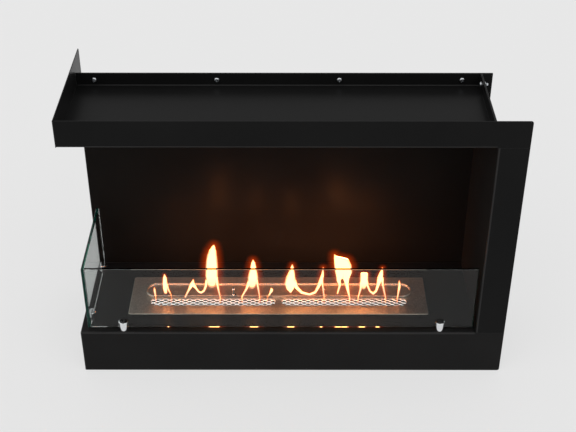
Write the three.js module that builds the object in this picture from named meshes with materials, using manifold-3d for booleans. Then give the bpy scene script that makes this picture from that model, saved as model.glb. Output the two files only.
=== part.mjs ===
// Bioethanol fireplace for a built-in corner: open at the front and on the left, with a long burner.
// Millimetres, +Z up, front towards -Y. The origin is the middle of the footprint, on the floor.
// Folded steel trays make the top and the base, a right wall and a back panel are screwed between
// them, two glass panes stand in slotted posts, and a drop-in burner carries a sliding snuffer lid.
import * as THREE from "three";
import { mergeVertices } from "three/addons/utils/BufferGeometryUtils.js";
import Module from "manifold-3d";

const wasm = await Module();
wasm.setup();

// ---- Driving sizes -------------------------------------------------------------------------------

// Body: overall size, then the bars that frame the two openings.
const frameWidth = 760;
const frameHeight = 524;
const frameDepth = 262;
const topBar = 49;
const baseBar = 89;
const rightBar = 50.5;
const rearBar = 49;
const backOverhang = 20;
const cornerRadius = 4;

// Sheet metal: thickness, inner bend radius, upturned and floor flanges, gap between two sheets.
const sheet = 1.5;
const bend = 1.2;
const trayFlange = 24.5;
const floorFlange = 20;
const floorFlangeInset = 40;
const floorHole = 6.5;
const seam = 0.2;

// Fasteners: a pan-head screw, the gap round it in its hole, and its hexagon nut.
const screwSize = 5;
const screwClearance = 0.3;
const screwHead = 9.5;
const screwHeadHeight = 3;
const nutAcross = 8;
const nutHeight = 4;
const screwLength = 12;
const rearScrews = 4;
const rearScrewInset = 33;
const sideBoltInset = 18;

// Glass: two panes of one thickness and height, set back from the faces of the frame.
const glass = 5;
const glassHeight = 130;
const glassLift = 5;
const frontGlassSetback = 9.5;
const sideGlassSetback = 12.5;
const glassEndGap = 5.5;
const sideGlassRearGap = 12.5;
const glassJoint = 0.3;

// Glass posts: slotted cylinders, each with a fixing screw from below and a grub screw.
const postSize = 18;
const postHeight = 18;
const postChamfer = 0.8;
const postSlotGap = 0.2;
const frontPostInset = 59;
const sidePostFrontInset = 32.5;
const sidePostRearInset = 18.5;
const threadClearance = 0.2;
const grubSize = 4;
const grubHeight = 13.5;
const postScrewSize = 4;
const postScrewHead = 7.6;
const postScrewHeadHeight = 2.6;

// Burner: top plate, tank below it, the two slots, and the mesh strips under them. The plate stops
// short of both ends of the hearth and lies a little behind its middle. The slots stop short of the
// plate's ends and front edge.
const hearthEndMargin = 79.75;
const burnerSetback = 1.35;
const plateWidth = 110.5;
const plateThickness = 2;
const plateCorner = 4;
const plateSeat = 0.3;
const tankLipX = 14.5;
const tankLipY = 11.5;
const tankDepth = 65;
const tankWall = 1.2;
const tankClearance = 2;
const slotWidth = 20.6;
const slotGap = 11.2;
const slotEndMargin = 37.4;
const slotFrontMargin = 25.5;
const meshThickness = 1.2;
const meshMargin = 4;
const meshPitch = 14.8;
const meshRow = 6.6;
const meshStrand = 1.9;
const woolGap = 2;
const woolDepth = 48;

// Snuffer lid: a shallow round-ended tray that slides forward over both slots, and how far it
// reaches past them at the ends and along the sides.
const lidEndOverlap = 10.4;
const lidSideOverlap = 9.2;
const lidHeight = 5;
const lidSheet = 1.5;
const lidSeat = 0.3;
const lidToSlot = 0.6;
const knobSpacing = 168.4;
const knobInset = 6.2;
const knobHeight = 16.6;
const knobStem = 4;
const knobHead = 6;
const knobCollar = 9;
const knobCollarHeight = 1.2;
const knobFit = 0.2;

// ---- Sizes that follow ---------------------------------------------------------------------------

const ceiling = frameHeight - topBar;
const bodyHeight = ceiling + trayFlange;
const wallFace = frameWidth - rightBar;
const backPlane = frameDepth - rearBar;
const hearthMid = wallFace / 2;
const hearthMidDepth = backPlane / 2;
const trayLeft = sheet + seam;
const flangeBack = backPlane - seam;
const flangeRight = wallFace - seam;
const wallEnd = wallFace + backOverhang;
const barLow = baseBar + seam;
const barHigh = ceiling - seam;
const topScrewHeight = ceiling + trayFlange / 2;
const baseScrewHeight = baseBar - trayFlange / 2;
const screwHole = screwSize + 2 * screwClearance;
const grubHole = grubSize + 2 * threadClearance;
const postScrewHole = postScrewSize + 2 * threadClearance;

const frontPaneLeft = sideGlassSetback + glass + glassJoint;
const frontPaneRight = wallFace - glassEndGap;
const sidePaneRear = backPlane - sideGlassRearGap;
const frontPostDepth = frontGlassSetback + glass / 2;
const sidePostAcross = sideGlassSetback + glass / 2;

const plateBottom = baseBar + plateSeat;
const plateTop = plateBottom + plateThickness;
const plateLength = wallFace - 2 * hearthEndMargin;
const plateMidDepth = hearthMidDepth + burnerSetback;
const tankLength = plateLength - 2 * tankLipX;
const tankWidth = plateWidth - 2 * tankLipY;
const tankTop = plateBottom - seam;
const tankBottom = tankTop - tankDepth;
const slotLength = (plateLength - slotGap) / 2 - slotEndMargin;
const slotDepth = plateMidDepth - plateWidth / 2 + slotFrontMargin + slotWidth / 2;
const slotOffset = (slotLength + slotGap) / 2;
const lidLength = 2 * slotLength + slotGap + 2 * lidEndOverlap;
const lidWidth = slotWidth + 2 * lidSideOverlap;
const lidDepth = slotDepth + slotWidth / 2 + lidToSlot + lidWidth / 2;
const lidBottom = plateTop + lidSeat;
const knobDepth = lidDepth - lidWidth / 2 + knobInset;

// ---- Shaping helpers -----------------------------------------------------------------------------

// A closed three.js geometry as a solid that can be joined and cut, and back again.
function solid(geometry) {
  const bare = geometry.clone();
  bare.deleteAttribute("normal");
  bare.deleteAttribute("uv");
  const merged = mergeVertices(bare, 1e-4);
  const triVerts = new Uint32Array(merged.index.array);
  const vertProperties = merged.attributes.position.array;
  return new wasm.Manifold(new wasm.Mesh({ numProp: 3, vertProperties, triVerts }));
}

function geometryOf(form) {
  const made = form.getMesh();
  const geometry = new THREE.BufferGeometry();
  geometry.setAttribute("position", new THREE.BufferAttribute(made.vertProperties, 3));
  geometry.setIndex(new THREE.BufferAttribute(made.triVerts, 1));
  const flat = geometry.toNonIndexed();
  flat.computeVertexNormals();
  return flat;
}

function block(x0, x1, y0, y1, z0, z1) {
  const geometry = new THREE.BoxGeometry(x1 - x0, y1 - y0, z1 - z0);
  return geometry.translate((x0 + x1) / 2, (y0 + y1) / 2, (z0 + z1) / 2);
}

// A round bar from z = 0 up to its length.
function bar(radius, length, sides = 16) {
  const geometry = new THREE.CylinderGeometry(radius, radius, length, sides);
  return geometry.rotateX(Math.PI / 2).translate(0, 0, length / 2);
}

// Turns something built along +Z so that it runs along +X or +Y.
function alongX(geometry) {
  return geometry.rotateY(Math.PI / 2);
}

function alongY(geometry) {
  return geometry.rotateX(-Math.PI / 2);
}

function extrude(shape, depth, arcSteps = 8) {
  return new THREE.ExtrudeGeometry(shape, { depth, bevelEnabled: false, curveSegments: arcSteps });
}

// A rectangle in the plane with its own radius at each corner, from the lower left one anticlockwise.
function roundedRectangle(x0, x1, y0, y1, radii) {
  const [a, b, c, d] = radii;
  const shape = new THREE.Shape();
  shape.moveTo(x0 + a, y0);
  shape.lineTo(x1 - b, y0);
  if (b) shape.absarc(x1 - b, y0 + b, b, -Math.PI / 2, 0);
  shape.lineTo(x1, y1 - c);
  if (c) shape.absarc(x1 - c, y1 - c, c, 0, Math.PI / 2);
  shape.lineTo(x0 + d, y1);
  if (d) shape.absarc(x0 + d, y1 - d, d, Math.PI / 2, Math.PI);
  shape.lineTo(x0, y0 + a);
  if (a) shape.absarc(x0 + a, y0 + a, a, Math.PI, Math.PI * 1.5);
  return shape;
}

// A slot outline with half-round ends, centred on (x, y), its length along the first axis.
function stadium(x, y, length, width) {
  const r = width / 2;
  return roundedRectangle(x - length / 2, x + length / 2, y - r, y + r, [r, r, r, r]);
}

// A folded strip of sheet: corners is the polyline of its left face, each turn a right angle.
function foldedProfile(corners, thickness, inner) {
  const left = [corners[0].clone()];
  const right = [corners[0].clone().add(rightOf(corners[0], corners[1], thickness))];
  for (let i = 1; i < corners.length - 1; i += 1) {
    const into = rightOf(corners[i - 1], corners[i], 1);
    const out = rightOf(corners[i], corners[i + 1], 1);
    const turnsLeft = into.cross(out) > 0;
    const reach = turnsLeft ? -inner : thickness + inner;
    const centre = corners[i].clone().add(into.clone().add(out).multiplyScalar(reach));
    const leftRadius = turnsLeft ? inner : thickness + inner;
    const rightRadius = turnsLeft ? thickness + inner : inner;
    const side = turnsLeft ? 1 : -1;
    for (const t of [0, 0.5, 1]) {
      const toward = into.clone().multiplyScalar(Math.cos((t * Math.PI) / 2));
      toward.add(out.clone().multiplyScalar(Math.sin((t * Math.PI) / 2))).multiplyScalar(side);
      left.push(centre.clone().addScaledVector(toward, leftRadius));
      right.push(centre.clone().addScaledVector(toward, rightRadius));
    }
  }
  const last = corners[corners.length - 1];
  left.push(last.clone());
  right.push(last.clone().add(rightOf(corners[corners.length - 2], last, thickness)));
  return new THREE.Shape([...left, ...right.reverse()]);
}

function rightOf(from, to, length) {
  const step = to.clone().sub(from).normalize();
  return new THREE.Vector2(step.y, -step.x).multiplyScalar(length);
}

function corner(x, y) {
  return new THREE.Vector2(x, y);
}

// A profile drawn in (Y, Z) and run along X, and one drawn in (X, Y) and run up Z.
function runAlongX(shape, x0, x1) {
  const toWorld = new THREE.Matrix4().set(0, 0, 1, x0, 1, 0, 0, 0, 0, 1, 0, 0, 0, 0, 0, 1);
  return extrude(shape, x1 - x0).applyMatrix4(toWorld);
}

function runUp(shape, z0, z1) {
  return extrude(shape, z1 - z0).translate(0, 0, z0);
}

// A plate drawn in (X, Z), standing from y0 back by its thickness.
function uprightPlate(shape, y0, thickness) {
  return extrude(shape, thickness).rotateX(Math.PI / 2).translate(0, y0 + thickness, 0);
}

// ---- Materials -----------------------------------------------------------------------------------

function finish(color, roughness, metalness) {
  return new THREE.MeshStandardMaterial({ color, roughness, metalness });
}

const blackCoat = finish(0x1d1d1e, 0.55, 0.1);
const stainless = finish(0xa59d92, 0.35, 1);
const chrome = finish(0xe4e6e8, 0.08, 1);
const zinc = finish(0x8b8d90, 0.45, 1);
const clearGlass = new THREE.MeshStandardMaterial({
  color: 0xcfe6dc, roughness: 0.03, metalness: 0, transparent: true, opacity: 0.3,
});
const ceramic = finish(0xe6e1d6, 0.95, 0);

const fireplace = new THREE.Group();
const body = new THREE.Group();
body.position.set(-frameWidth / 2, -frameDepth / 2, 0);
fireplace.add(body);

// Adds a named piece; its place is given from the frame's front left corner at floor level.
function piece(name, geometry, material, x = 0, y = 0, z = 0, parent = body) {
  const mesh = new THREE.Mesh(geometry, material);
  mesh.name = name;
  mesh.position.set(x, y, z);
  parent.add(mesh);
  return mesh;
}

// ---- Where the screws go -------------------------------------------------------------------------

// The rear screws stand at even pitch across the trays, the side bolts near the front and the back.
const rearScrewPitch = (flangeRight - 2 * rearScrewInset) / (rearScrews - 1);
const rearScrewX = Array.from({ length: rearScrews }, (_, i) => rearScrewInset + i * rearScrewPitch);
const sideBoltY = [sideBoltInset, backPlane - sideBoltInset];
const screwRows = [
  { row: "top", height: topScrewHeight },
  { row: "base", height: baseScrewHeight },
];

// Cuts one row of rear screw holes, or one row of side bolt holes, out of a folded piece.
function drillRear(target, height) {
  return rearScrewX.reduce((left, x) => {
    const drill = alongY(bar(screwHole / 2, 8 * sheet, 12));
    return left.subtract(solid(drill.translate(x, backPlane - 4 * sheet, height)));
  }, target);
}

function drillSide(target, height) {
  return sideBoltY.reduce((left, y) => {
    const drill = alongX(bar(screwHole / 2, 8 * sheet, 12));
    return left.subtract(solid(drill.translate(wallFace - 4 * sheet, y, height)));
  }, target);
}

// Cuts a hole of its own diameter down through a floor-level sheet.
function drillDown(target, x, y, z, diameter) {
  return target.subtract(solid(bar(diameter / 2, 4 * sheet, 12).translate(x, y, z - 2.5 * sheet)));
}

// ---- Top tray ------------------------------------------------------------------------------------

// One folded sheet: front fascia down, ceiling panel back, rear flange up. The fascia's right end
// and the right flange are welded on.
function topTray() {
  const fold = foldedProfile(
    [
      corner(sheet, frameHeight),
      corner(sheet, ceiling + sheet),
      corner(flangeBack - sheet, ceiling + sheet),
      corner(flangeBack - sheet, bodyHeight),
    ],
    sheet,
    bend,
  );
  const ear = roundedRectangle(
    flangeRight - sheet, frameWidth, ceiling, frameHeight, [0, 0, cornerRadius, 0],
  );
  const whole = solid(runAlongX(fold, trayLeft, flangeRight))
    .add(solid(uprightPlate(ear, 0, sheet)))
    .add(solid(block(flangeRight - sheet, flangeRight, sheet, flangeBack, ceiling, bodyHeight)));
  return drillSide(drillRear(whole, topScrewHeight), topScrewHeight);
}
piece("top_tray", geometryOf(topTray()), blackCoat);

// The left fascia is a flat plate welded to the tray's left end. It runs on past the back panel.
const leftFascia = roundedRectangle(0, frameDepth, ceiling, frameHeight, [0, 0, cornerRadius, 0]);
piece("left_fascia", runAlongX(leftFascia, 0, sheet), blackCoat);

// ---- Base tray -----------------------------------------------------------------------------------

const sidePosts = [frontGlassSetback + sidePostFrontInset, sidePaneRear - sidePostRearInset];
const postPlaces = [
  { place: "front_left", x: frontPaneLeft + frontPostInset, y: frontPostDepth, turn: 0 },
  { place: "front_right", x: frontPaneRight - frontPostInset, y: frontPostDepth, turn: 0 },
  { place: "side_front", x: sidePostAcross, y: sidePosts[0], turn: -Math.PI / 2 },
  { place: "side_rear", x: sidePostAcross, y: sidePosts[1], turn: -Math.PI / 2 },
];

// The base tray is welded from four pieces. The front skirt and the rear flange are each turned over
// at the top to meet the flat hearth floor between them, and the right flange is a strip below it.
const turnedOver = sheet + bend + seam;
const floorNear = turnedOver + seam;
const floorFar = flangeBack - turnedOver - seam;
const flangeLow = baseBar - trayFlange;

function baseSkirt() {
  const fold = foldedProfile(
    [corner(0, 0), corner(0, baseBar), corner(turnedOver, baseBar)],
    sheet,
    bend,
  );
  const ear = roundedRectangle(flangeRight - sheet, frameWidth, 0, baseBar, [0, cornerRadius, 0, 0]);
  return solid(runAlongX(fold, trayLeft, flangeRight)).add(solid(uprightPlate(ear, 0, sheet)));
}
piece("base_skirt", geometryOf(baseSkirt()), blackCoat);

function baseRearFlange() {
  const fold = foldedProfile(
    [corner(flangeBack - turnedOver, baseBar), corner(flangeBack, baseBar), corner(flangeBack, flangeLow)],
    sheet,
    bend,
  );
  return drillRear(solid(runAlongX(fold, trayLeft, flangeRight)), baseScrewHeight);
}
piece("base_rear_flange", geometryOf(baseRearFlange()), blackCoat);

function baseRightFlange() {
  const high = baseBar - sheet - seam;
  const strip = block(flangeRight - sheet, flangeRight, floorNear, floorFar, flangeLow, high);
  return drillSide(solid(strip), baseScrewHeight);
}
piece("base_right_flange", geometryOf(baseRightFlange()), blackCoat);

// The burner hangs in the floor's cut-out, and the posts are screwed down through its holes.
function hearthFloor() {
  const halfLength = tankLength / 2 + tankClearance;
  const halfWidth = tankWidth / 2 + tankClearance;
  const cutOut = block(
    hearthMid - halfLength,
    hearthMid + halfLength,
    plateMidDepth - halfWidth,
    plateMidDepth + halfWidth,
    baseBar - 3 * sheet,
    baseBar + sheet,
  );
  const panel = solid(block(trayLeft, flangeRight, floorNear, floorFar, baseBar - sheet, baseBar));
  return postPlaces.reduce(
    (left, { x, y }) => drillDown(left, x, y, baseBar, postScrewHole),
    panel.subtract(solid(cutOut)),
  );
}
piece("hearth_floor", geometryOf(hearthFloor()), blackCoat);

// The left skirt is a flat plate welded to the tray's left end, as deep as the fascia above it.
const leftSkirt = roundedRectangle(0, frameDepth, 0, baseBar, [0, cornerRadius, 0, 0]);
piece("left_skirt", runAlongX(leftSkirt, 0, sheet), blackCoat);

// ---- Right wall ----------------------------------------------------------------------------------

// Folded in plan: front bar, wall, and a rear flange turned out to the right. The wall runs the full
// height, while the bar stops at the fascias above and below it. A drilled flange lies on the floor.
function rightWall() {
  const barFold = foldedProfile(
    [corner(frameWidth, 0), corner(wallFace, 0), corner(wallFace, hearthMidDepth)],
    sheet,
    bend,
  );
  const wallFold = foldedProfile(
    [corner(wallFace, sheet + seam), corner(wallFace, flangeBack), corner(wallEnd, flangeBack)],
    sheet,
    bend,
  );
  const footFront = floorFlangeInset;
  const footBack = backPlane - floorFlangeInset;
  const foot = block(wallFace - floorFlange, wallFace + sheet, footFront, footBack, 0, sheet);
  const whole = solid(runUp(barFold, barLow, barHigh))
    .add(solid(runUp(wallFold, 0, bodyHeight)))
    .add(solid(foot));
  const footHoles = [footFront + floorFlange, footBack - floorFlange];
  const drilled = footHoles.reduce(
    (left, y) => drillDown(left, wallFace - floorFlange / 2, y, sheet, floorHole),
    whole,
  );
  return drillSide(drillSide(drilled, topScrewHeight), baseScrewHeight);
}
piece("right_wall", geometryOf(rightWall()), blackCoat);

// ---- Back panel ----------------------------------------------------------------------------------

// A flat sheet behind both trays. Its left edge is folded backwards into the rear bar of the left
// opening, between the left fascia and the left skirt, and a drilled flange lies on the floor.
function backPanel() {
  const fold = foldedProfile(
    [corner(hearthMid, backPlane), corner(0, backPlane), corner(0, frameDepth)],
    sheet,
    bend,
  );
  const panelBack = backPlane + sheet;
  const footLeft = floorFlangeInset;
  const footRight = wallFace - floorFlangeInset;
  const foot = block(footLeft, footRight, backPlane - floorFlange, panelBack, 0, sheet);
  const whole = solid(runUp(fold, barLow, barHigh))
    .add(solid(block(sheet + seam, wallEnd, backPlane, panelBack, 0, bodyHeight)))
    .add(solid(foot));
  const footHoles = [footLeft + 2 * floorFlange, footRight - 2 * floorFlange];
  const drilled = footHoles.reduce(
    (left, x) => drillDown(left, x, backPlane - floorFlange / 2, sheet, floorHole),
    whole,
  );
  return drillRear(drillRear(drilled, topScrewHeight), baseScrewHeight);
}
piece("back_panel", geometryOf(backPanel()), blackCoat);

// ---- Screws, bolts and nuts ----------------------------------------------------------------------

// A pan-head screw along +Z: its head is below z = 0 and its shank above, with no recess.
function panHead(shank, length, head, headHeight) {
  const outline = [
    [0, -headHeight],
    [head * 0.28, -headHeight],
    [head * 0.44, -headHeight * 0.72],
    [head * 0.5, -headHeight * 0.3],
    [head * 0.5, 0],
    [shank / 2, 0],
    [shank / 2, length - shank * 0.12],
    [shank * 0.38, length],
    [0, length],
  ];
  const points = outline.map(([r, z]) => corner(r, z));
  return new THREE.LatheGeometry(points, 14).rotateX(Math.PI / 2);
}

function hexNut(across, bore, height) {
  const shape = new THREE.Shape();
  const reach = across / Math.sqrt(3);
  for (let i = 0; i < 6; i += 1) {
    const angle = (i * Math.PI) / 3;
    if (i === 0) shape.moveTo(reach, 0);
    else shape.lineTo(reach * Math.cos(angle), reach * Math.sin(angle));
  }
  const hole = new THREE.Path();
  hole.absarc(0, 0, bore / 2, 0, Math.PI * 2, true);
  shape.holes.push(hole);
  return extrude(shape, height, 6);
}

const screwSeatY = flangeBack - sheet - seam;
const screwSeatX = flangeRight - sheet - seam;
const nutSeatY = backPlane + sheet + seam;
const nutSeatX = wallFace + sheet + seam;
const screwForm = panHead(screwSize, screwLength, screwHead, screwHeadHeight);
const nutForm = hexNut(nutAcross, screwHole, nutHeight);

for (const { row, height } of screwRows) {
  rearScrewX.forEach((x, i) => {
    piece(`${row}_rear_screw_${i + 1}`, alongY(screwForm.clone()), zinc, x, screwSeatY, height);
    piece(`${row}_rear_nut_${i + 1}`, alongY(nutForm.clone()), zinc, x, nutSeatY, height);
  });
  sideBoltY.forEach((y, i) => {
    piece(`${row}_side_bolt_${i + 1}`, alongX(screwForm.clone()), zinc, screwSeatX, y, height);
    piece(`${row}_side_nut_${i + 1}`, alongX(nutForm.clone()), zinc, nutSeatX, y, height);
  });
}

// ---- Glass panes ---------------------------------------------------------------------------------

// Clear toughened panes, held only by their posts and clear of the walls and of each other.
const paneLow = baseBar + glassLift;
const paneHigh = paneLow + glassHeight;
const frontPane = block(
  frontPaneLeft, frontPaneRight, frontGlassSetback, frontGlassSetback + glass, paneLow, paneHigh,
);
const sidePane = block(
  sideGlassSetback, sideGlassSetback + glass, frontGlassSetback, sidePaneRear, paneLow, paneHigh,
);
piece("front_glass", frontPane, clearGlass);
piece("side_glass", sidePane, clearGlass);

// ---- Glass posts ---------------------------------------------------------------------------------

// A turned post on +Z with its slot along X: the pane stands in the slot, a screw from below holds
// the post to the hearth floor, and a grub screw on the +Y side grips the pane.
const postFloor = baseBar + seam;
const slotFloor = glassLift - 2 * seam;
const slotHalf = glass / 2 + postSlotGap;
const postRadius = postSize / 2;

function glassPost() {
  const outline = [
    [0, 0],
    [postRadius, 0],
    [postRadius, postHeight - postChamfer],
    [postRadius - postChamfer, postHeight],
    [0, postHeight],
  ];
  const points = outline.map(([r, z]) => corner(r, z));
  const turned = new THREE.LatheGeometry(points, 28).rotateX(Math.PI / 2);
  const slot = block(-postSize, postSize, -slotHalf, slotHalf, slotFloor, 2 * postHeight);
  const fixing = bar(postScrewHole / 2, postHeight, 12).translate(0, 0, -postHeight / 2);
  const grip = alongY(bar(grubHole / 2, postSize, 12)).translate(0, 0, grubHeight);
  return solid(turned).subtract(solid(slot)).subtract(solid(fixing)).subtract(solid(grip));
}

// A grub screw along +Y from the pane to just inside the post's skin, with a hexagon socket.
function grubScrew() {
  const near = glass / 2 + seam / 2;
  const far = postRadius - 0.1 * postSize;
  const shank = alongY(bar(grubSize / 2, far - near, 12)).translate(0, near, 0);
  const socket = alongY(bar(grubSize * 0.28, far, 6)).translate(0, far - grubSize / 2, 0);
  return solid(shank).subtract(solid(socket));
}

const postForm = geometryOf(glassPost());
const grubForm = geometryOf(grubScrew());
const underFloor = baseBar - sheet - seam;
const postScrewLength = postFloor + slotFloor - seam - underFloor;
const postScrewForm = panHead(postScrewSize, postScrewLength, postScrewHead, postScrewHeadHeight);

for (const { place, x, y, turn } of postPlaces) {
  const stand = new THREE.Group();
  stand.position.set(x, y, postFloor);
  stand.rotation.z = turn;
  body.add(stand);
  piece(`${place}_glass_post`, postForm.clone(), chrome, 0, 0, 0, stand);
  piece(`${place}_grub_screw`, grubForm.clone(), zinc, 0, 0, grubHeight, stand);
  const screw = postScrewForm.clone();
  piece(`${place}_post_screw`, screw, zinc, 0, 0, underFloor - postFloor, stand);
}

// ---- Burner --------------------------------------------------------------------------------------

const burner = new THREE.Group();
burner.position.set(hearthMid, 0, 0);
body.add(burner);

// The top plate rests on the hearth floor round the cut-out and has the two long flame slots.
function burnerPlate() {
  const r = plateCorner;
  const near = plateMidDepth - plateWidth / 2;
  const far = plateMidDepth + plateWidth / 2;
  const shape = roundedRectangle(-plateLength / 2, plateLength / 2, near, far, [r, r, r, r]);
  for (const x of [-slotOffset, slotOffset]) {
    shape.holes.push(stadium(x, slotDepth, slotLength, slotWidth));
  }
  return runUp(shape, plateBottom, plateTop);
}
piece("burner_plate", burnerPlate(), stainless, 0, 0, 0, burner);

// The tank hangs below the plate and is open at the top. It is welded from five flat plates: two
// ends and two walls that stand on a floor.
const tankLeft = -tankLength / 2;
const tankRight = tankLength / 2;
const tankNear = plateMidDepth - tankWidth / 2;
const tankFar = plateMidDepth + tankWidth / 2;
const tankEdge = tankBottom + tankWall + seam;
const wallInset = tankWall + seam;

const tankPlates = {
  tank_floor: [tankLeft, tankRight, tankNear, tankFar, tankBottom, tankBottom + tankWall],
  tank_left_end: [tankLeft, tankLeft + tankWall, tankNear, tankFar, tankEdge, tankTop],
  tank_right_end: [tankRight - tankWall, tankRight, tankNear, tankFar, tankEdge, tankTop],
  tank_front_wall: [
    tankLeft + wallInset, tankRight - wallInset, tankNear, tankNear + tankWall, tankEdge, tankTop,
  ],
  tank_back_wall: [
    tankLeft + wallInset, tankRight - wallInset, tankFar - tankWall, tankFar, tankEdge, tankTop,
  ],
};
for (const [name, sides] of Object.entries(tankPlates)) {
  piece(name, block(...sides), stainless, 0, 0, 0, burner);
}

// Ceramic wool lies on the tank's bottom and soaks up the fuel.
const woolInset = tankWall + woolGap;
const woolFloor = tankBottom + tankWall + seam;
const wool = block(
  woolInset - tankLength / 2,
  tankLength / 2 - woolInset,
  plateMidDepth - tankWidth / 2 + woolInset,
  plateMidDepth + tankWidth / 2 - woolInset,
  woolFloor,
  woolFloor + woolDepth,
);
piece("ceramic_wool", wool, ceramic, 0, 0, 0, burner);

// A strip of expanded metal, its lozenges in staggered rows wherever the slot above leaves it open.
function meshStrip() {
  const halfLength = slotLength / 2 + meshMargin;
  const halfWidth = slotWidth / 2 + meshMargin;
  const shape = roundedRectangle(-halfLength, halfLength, -halfWidth, halfWidth, [0, 0, 0, 0]);
  const cellLength = meshPitch / 2;
  const cellWidth = meshRow / 2;
  const edgeReach = (cellLength * cellWidth) / Math.hypot(cellLength, cellWidth);
  const open = 1 - meshStrand / 2 / edgeReach;
  const slotRadius = slotWidth / 2;
  const rows = Math.floor((slotRadius - cellWidth * open) / cellWidth);
  for (let row = -rows; row <= rows; row += 1) {
    const y = row * cellWidth;
    const stagger = row % 2 === 0 ? 0 : cellLength;
    const rowReach = slotLength / 2 - slotRadius + Math.sqrt(slotRadius ** 2 - y ** 2);
    const reach = rowReach - cellLength * open;
    const first = Math.ceil((-reach - stagger) / meshPitch);
    for (let k = first; k * meshPitch + stagger <= reach; k += 1) {
      const x = k * meshPitch + stagger;
      const hole = new THREE.Path();
      hole.moveTo(x + cellLength * open, y);
      hole.lineTo(x, y + cellWidth * open);
      hole.lineTo(x - cellLength * open, y);
      hole.lineTo(x, y - cellWidth * open);
      hole.closePath();
      shape.holes.push(hole);
    }
  }
  return runUp(shape, plateBottom - seam - meshThickness, plateBottom - seam);
}
piece("left_slot_mesh", meshStrip(), stainless, -slotOffset, slotDepth, 0, burner);
piece("right_slot_mesh", meshStrip(), stainless, slotOffset, slotDepth, 0, burner);

// ---- Snuffer lid ---------------------------------------------------------------------------------

// A long tray with half-round ends and an upturned rim. It parks right behind the slots, and its
// two pins take a hook that pulls it forward over them.
const lidHalfKnobs = knobSpacing / 2;
const lid = new THREE.Group();
lid.position.set(0, lidDepth, lidBottom);
burner.add(lid);

function snufferLid() {
  const inner = stadium(0, 0, lidLength - 2 * lidSheet, lidWidth - 2 * lidSheet);
  const whole = solid(runUp(stadium(0, 0, lidLength, lidWidth), 0, lidHeight)).subtract(
    solid(runUp(inner, lidSheet, 2 * lidHeight)),
  );
  return [-lidHalfKnobs, lidHalfKnobs].reduce((left, x) => {
    const drill = bar(knobStem / 2 + knobFit, 4 * lidSheet, 12);
    return left.subtract(solid(drill.translate(x, knobDepth - lidDepth, -lidSheet)));
  }, whole);
}
piece("snuffer_lid", geometryOf(snufferLid()), stainless, 0, 0, 0, lid);

// A turned pin on +Z from the lid's floor: riveted stub below, collar, stem and rounded head.
function lidKnob() {
  const stem = knobStem / 2;
  const head = knobHead / 2;
  const headLow = knobHeight - knobHead;
  const outline = [
    [0, knobFit - lidSheet],
    [stem, knobFit - lidSheet],
    [stem, seam],
    [knobCollar / 2, seam],
    [knobCollar / 2, seam + knobCollarHeight],
    [stem, seam + 1.5 * knobCollarHeight],
    [stem * 0.85, headLow],
    [head * 0.87, headLow + head * 0.5],
    [head, headLow + head],
    [head * 0.87, knobHeight - head * 0.5],
    [head * 0.5, knobHeight - head * 0.13],
    [0, knobHeight],
  ];
  const points = outline.map(([r, z]) => corner(r, z));
  return new THREE.LatheGeometry(points, 14).rotateX(Math.PI / 2);
}
piece("lid_knob_left", lidKnob(), chrome, -lidHalfKnobs, knobDepth - lidDepth, lidSheet, lid);
piece("lid_knob_right", lidKnob(), chrome, lidHalfKnobs, knobDepth - lidDepth, lidSheet, lid);

export default fireplace;
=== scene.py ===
from math import cos, hypot, pi, radians, sin, sqrt

import bmesh
import bpy
from mathutils import Matrix, Vector, noise


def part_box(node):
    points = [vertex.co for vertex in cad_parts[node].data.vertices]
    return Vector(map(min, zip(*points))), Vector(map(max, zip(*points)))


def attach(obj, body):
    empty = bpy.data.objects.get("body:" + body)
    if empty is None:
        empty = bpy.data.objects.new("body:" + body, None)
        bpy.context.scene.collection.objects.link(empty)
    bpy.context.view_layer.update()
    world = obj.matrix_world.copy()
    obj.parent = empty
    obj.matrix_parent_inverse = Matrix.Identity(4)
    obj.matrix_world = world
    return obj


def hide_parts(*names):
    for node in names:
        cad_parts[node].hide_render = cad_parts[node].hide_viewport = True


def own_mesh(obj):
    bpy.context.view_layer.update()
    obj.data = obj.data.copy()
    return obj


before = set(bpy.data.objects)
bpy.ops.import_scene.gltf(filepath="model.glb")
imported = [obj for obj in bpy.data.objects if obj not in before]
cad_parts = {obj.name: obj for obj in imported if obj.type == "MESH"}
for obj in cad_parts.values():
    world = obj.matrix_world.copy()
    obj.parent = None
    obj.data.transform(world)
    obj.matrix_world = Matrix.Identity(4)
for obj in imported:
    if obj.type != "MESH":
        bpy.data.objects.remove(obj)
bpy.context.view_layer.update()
MM = 0.001


# ---- Camera --------------------------------------------------------------------------------------
# The fireplace is seen from the front and well above, through a long lens 2 m away, so that the
# recess on top, the hearth and the burner all show at once.
camera_film = 36.0
camera_lens = 69.77
camera_place = (-0.0054, -1.6650, 1.3942)
camera_dip = radians(34.413)
camera_swing = radians(0.083)

camera = bpy.data.objects.new("camera", bpy.data.cameras.new("camera"))
camera.data.sensor_width = camera_film
camera.data.lens = camera_lens
camera.location = camera_place
camera.rotation_euler = (pi / 2 - camera_dip, 0.0, camera_swing)
bpy.context.scene.collection.objects.link(camera)
bpy.context.scene.camera = camera


# ---- Floor and light -----------------------------------------------------------------------------
# A plain pale floor without an edge, an even pale room round it, and two broad soft lamps high on
# the left and the right. The floor looks nearly even, with a faint shadow under the object.
room_tone = 0.80
floor_tone = 0.80
backdrop_tone = 0.807
backdrop_share = 0.78
floor_reach = 30.0
lamp_width = radians(40.0)
lamps = {
    "left_lamp": (0.42, (radians(30.0), radians(-36.0), 0.0)),
    "right_lamp": (0.42, (radians(34.0), radians(36.0), 0.0)),
}


def plain_material(name, settings):
    """A Principled material with constants on the shader's own sockets."""
    material = bpy.data.materials.new(name)
    material.use_nodes = True
    shader = material.node_tree.nodes["Principled BSDF"]
    for socket, value in settings.items():
        shader.inputs[socket].default_value = value
    return material


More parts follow.
